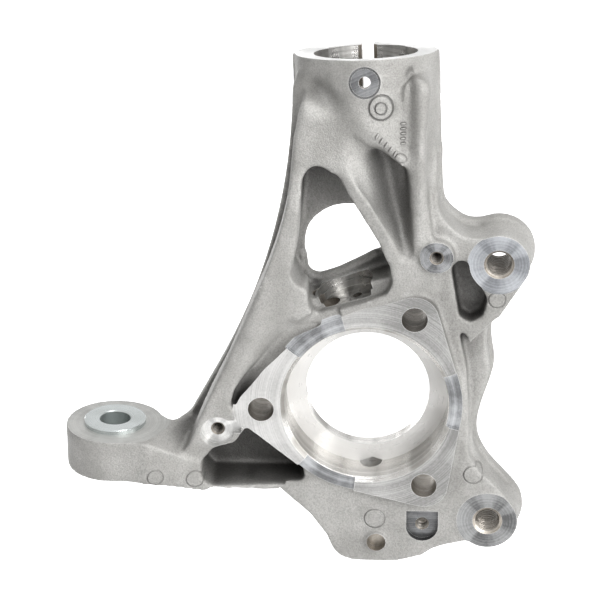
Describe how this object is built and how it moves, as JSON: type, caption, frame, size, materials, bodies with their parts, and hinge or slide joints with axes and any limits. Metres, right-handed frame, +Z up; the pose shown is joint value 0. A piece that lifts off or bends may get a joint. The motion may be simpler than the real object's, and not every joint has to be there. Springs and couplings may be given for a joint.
{
  "type": "steering knuckle",
  "caption": "Cast aluminium steering knuckle with strut clamp, hub bearing bore, caliper ears, steering arm with steel bush and lower ball joint boss.",
  "frame": {"origin": "centre of the wheel bearing bore, in the plane of the machined hub flange", "axes": "-Y runs along the wheel's axis, outboard; +Z is up; +X runs to the right seen from outboard, towards the caliper ears"},
  "size_m": [0.2347, 0.096, 0.2708],
  "materials": {
    "cast_aluminium": "fine-grained matt casting skin, bright machined faces and bores",
    "zinc_plated_steel": "bluish zinc plating, glossy"
  },
  "bodies": {
    "root": {"knuckle_casting": "cast_aluminium", "steering_arm_bush": "zinc_plated_steel"}
  },
  "joints": []
}
